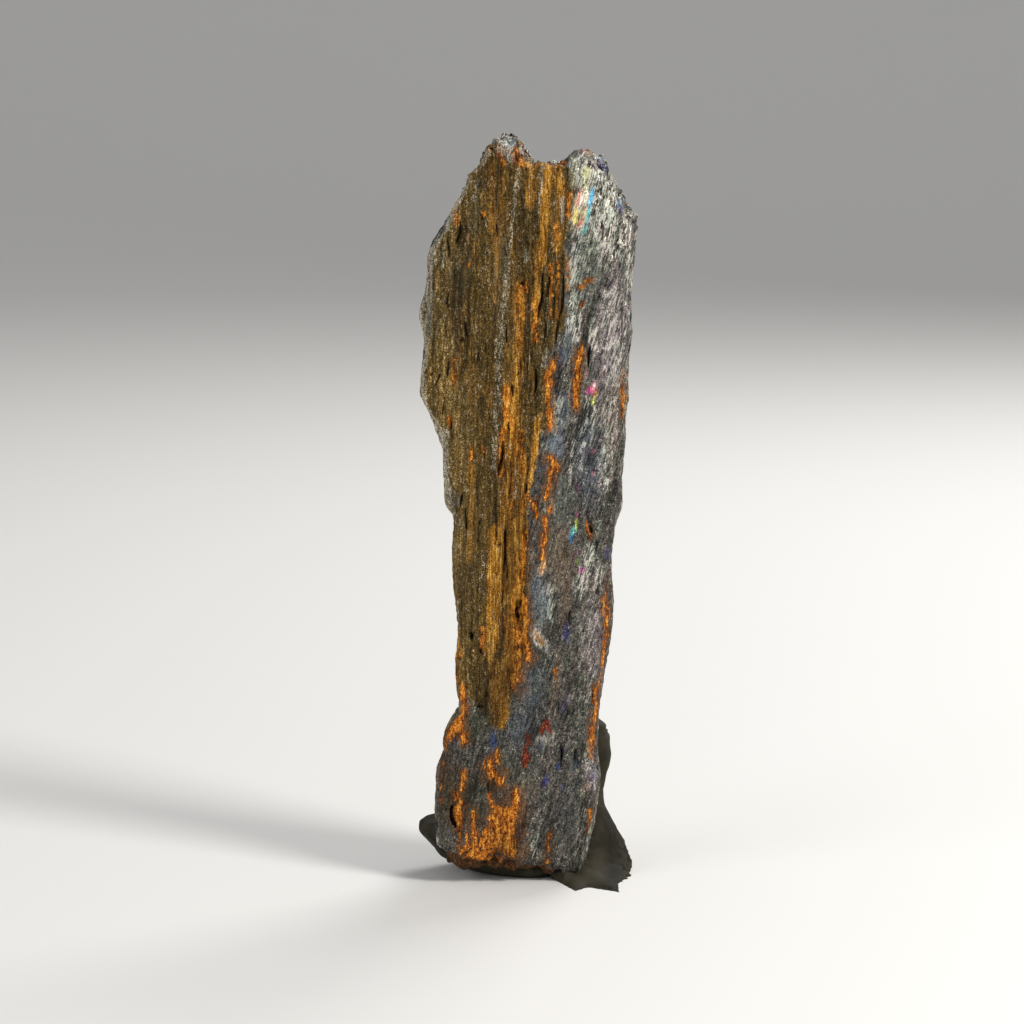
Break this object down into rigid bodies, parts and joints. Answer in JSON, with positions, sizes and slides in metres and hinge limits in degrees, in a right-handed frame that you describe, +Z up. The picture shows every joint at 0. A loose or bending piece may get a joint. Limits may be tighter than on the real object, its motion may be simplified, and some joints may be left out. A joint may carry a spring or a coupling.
{
  "type": "hematite mineral specimen",
  "caption": "Tall upright splinter of fibrous iridescent hematite with an ochre limonite skin, its foot held in a wad of grey mounting putty.",
  "frame": {"origin": "on the ground, below the middle of the specimen's bounding box", "axes": "+Z up along the fibres, +X to the right as the coloured front face is seen, -Y out of that front face"},
  "size_m": [0.0326, 0.0324, 0.1133],
  "materials": {
    "hematite": "satin",
    "putty": "matte"
  },
  "bodies": {
    "root": {"hematite": "hematite", "mounting_putty": "putty"}
  },
  "joints": []
}
